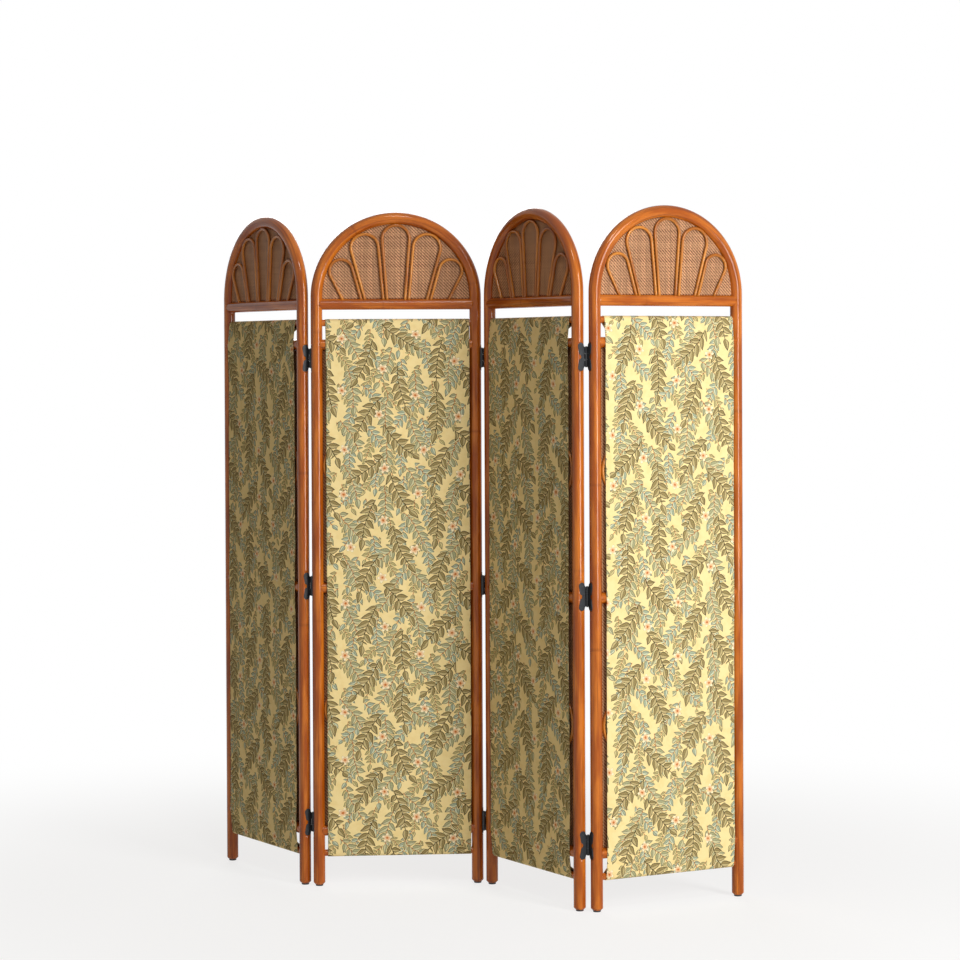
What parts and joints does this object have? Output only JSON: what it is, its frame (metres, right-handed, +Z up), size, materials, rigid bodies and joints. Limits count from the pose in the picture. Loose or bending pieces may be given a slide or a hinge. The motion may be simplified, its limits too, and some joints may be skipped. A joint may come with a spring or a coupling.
{
  "type": "folding screen",
  "caption": "Hinged folding screen of arched rattan panels with woven cane, loop fans under the arches and printed cloth fronts, standing in a zig-zag.",
  "frame": {"origin": "middle of the screen's outline on the floor, under the box of the whole screen", "axes": "+X along the screen from the first panel to the fourth, +Y to its back, +Z up"},
  "size_m": [1.4892, 0.3544, 1.7798],
  "materials": {
    "rattan_pole": "glossy varnish over an orange-brown stain",
    "rattan_rung": "glossy varnish over an orange-brown stain",
    "rattan_rod": "satin varnish over an orange-brown stain",
    "rattan_bead": "satin varnish",
    "woven_cane": "close-woven stained cane, satin",
    "printed_cloth": "printed cotton with leaves and small flowers",
    "hinge_black": "black paint, semi-gloss",
    "pin_steel": "blackened steel",
    "screw_steel": "blackened steel",
    "glide_plastic": "black plastic"
  },
  "bodies": {
    "panel_1": {"pole_frame_1": "rattan_pole", "top_rail_1": "rattan_pole", "thin_rungs_1": "rattan_rung", "thick_rungs_1": "rattan_pole", "arch_cane_1": "woven_cane", "panel_cane_1": "woven_cane", "cane_beads_1": "rattan_bead", "fan_loops_1": "rattan_rod", "oval_hoops_1": "rattan_rod", "cloth_1": "printed_cloth", "glides_1": "glide_plastic", "hinge_screws_1": "screw_steel", "left_leaves_1": "hinge_black", "hinge_pins_1": "pin_steel"},
    "panel_2": {"pole_frame_2": "rattan_pole", "top_rail_2": "rattan_pole", "thin_rungs_2": "rattan_rung", "thick_rungs_2": "rattan_pole", "arch_cane_2": "woven_cane", "panel_cane_2": "woven_cane", "cane_beads_2": "rattan_bead", "fan_loops_2": "rattan_rod", "oval_hoops_2": "rattan_rod", "cloth_2": "printed_cloth", "glides_2": "glide_plastic", "hinge_screws_2": "screw_steel", "right_leaves_1": "hinge_black", "left_leaves_2": "hinge_black", "hinge_pins_2": "pin_steel"},
    "panel_3": {"pole_frame_3": "rattan_pole", "top_rail_3": "rattan_pole", "thin_rungs_3": "rattan_rung", "thick_rungs_3": "rattan_pole", "arch_cane_3": "woven_cane", "panel_cane_3": "woven_cane", "cane_beads_3": "rattan_bead", "fan_loops_3": "rattan_rod", "oval_hoops_3": "rattan_rod", "cloth_3": "printed_cloth", "glides_3": "glide_plastic", "hinge_screws_3": "screw_steel", "right_leaves_2": "hinge_black", "left_leaves_3": "hinge_black", "hinge_pins_3": "pin_steel"},
    "panel_4": {"pole_frame_4": "rattan_pole", "top_rail_4": "rattan_pole", "thin_rungs_4": "rattan_rung", "thick_rungs_4": "rattan_pole", "arch_cane_4": "woven_cane", "panel_cane_4": "woven_cane", "cane_beads_4": "rattan_bead", "fan_loops_4": "rattan_rod", "oval_hoops_4": "rattan_rod", "cloth_4": "printed_cloth", "glides_4": "glide_plastic", "hinge_screws_4": "screw_steel", "right_leaves_3": "hinge_black"}
  },
  "joints": [
    {"name": "left_fold", "type": "hinge", "parent": "panel_1", "child": "panel_2", "pos_m": [-0.36743, -0.08169, 0.78875], "axis": [0, 0, 1], "range_deg": [-62, 118]},
    {"name": "middle_fold", "type": "hinge", "parent": "panel_2", "child": "panel_3", "pos_m": [0.05205, 0.08797, 0.78875], "axis": [0, 0, 1], "range_deg": [-117, 63]},
    {"name": "right_fold", "type": "hinge", "parent": "panel_3", "child": "panel_4", "pos_m": [0.43145, -0.15862, 0.78875], "axis": [0, 0, 1], "range_deg": [-86, 94]}
  ]
}
